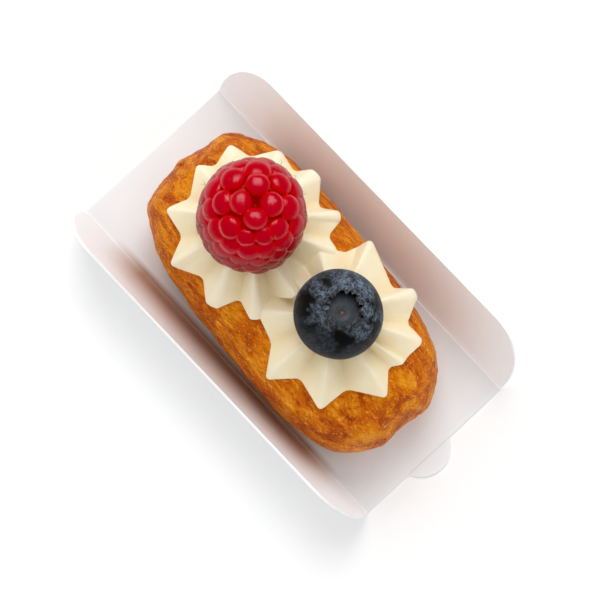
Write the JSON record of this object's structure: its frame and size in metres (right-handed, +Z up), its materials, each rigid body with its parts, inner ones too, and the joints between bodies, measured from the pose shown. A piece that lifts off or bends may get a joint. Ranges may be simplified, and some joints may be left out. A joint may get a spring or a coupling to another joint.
{
  "type": "mini eclair",
  "caption": "Small choux eclair topped with piped cream stars and fresh berries, lying in a folded white card case with upturned sides and a pull tab, ready to serve.",
  "frame": {"origin": "centre of the card panel's underside, where the case rests", "axes": "+X along the eclair towards the pull tab, +Y towards the upturned side that slopes out more, +Z up"},
  "size_m": [0.0864, 0.0495, 0.046],
  "materials": {
    "card": "smooth white paperboard, satin",
    "choux": "baked crust, satin, finely cracked",
    "cream": "smooth whipped cream, soft sheen, translucent",
    "red_berry": "juicy drupelets, pale bloom at their edges",
    "blue_berry": "dark skin under a mottled waxy bloom"
  },
  "bodies": {
    "root": {"card_case": "card", "choux_shell": "choux", "piped_cream": "cream", "raspberry": "red_berry", "blueberry": "blue_berry"}
  },
  "joints": []
}
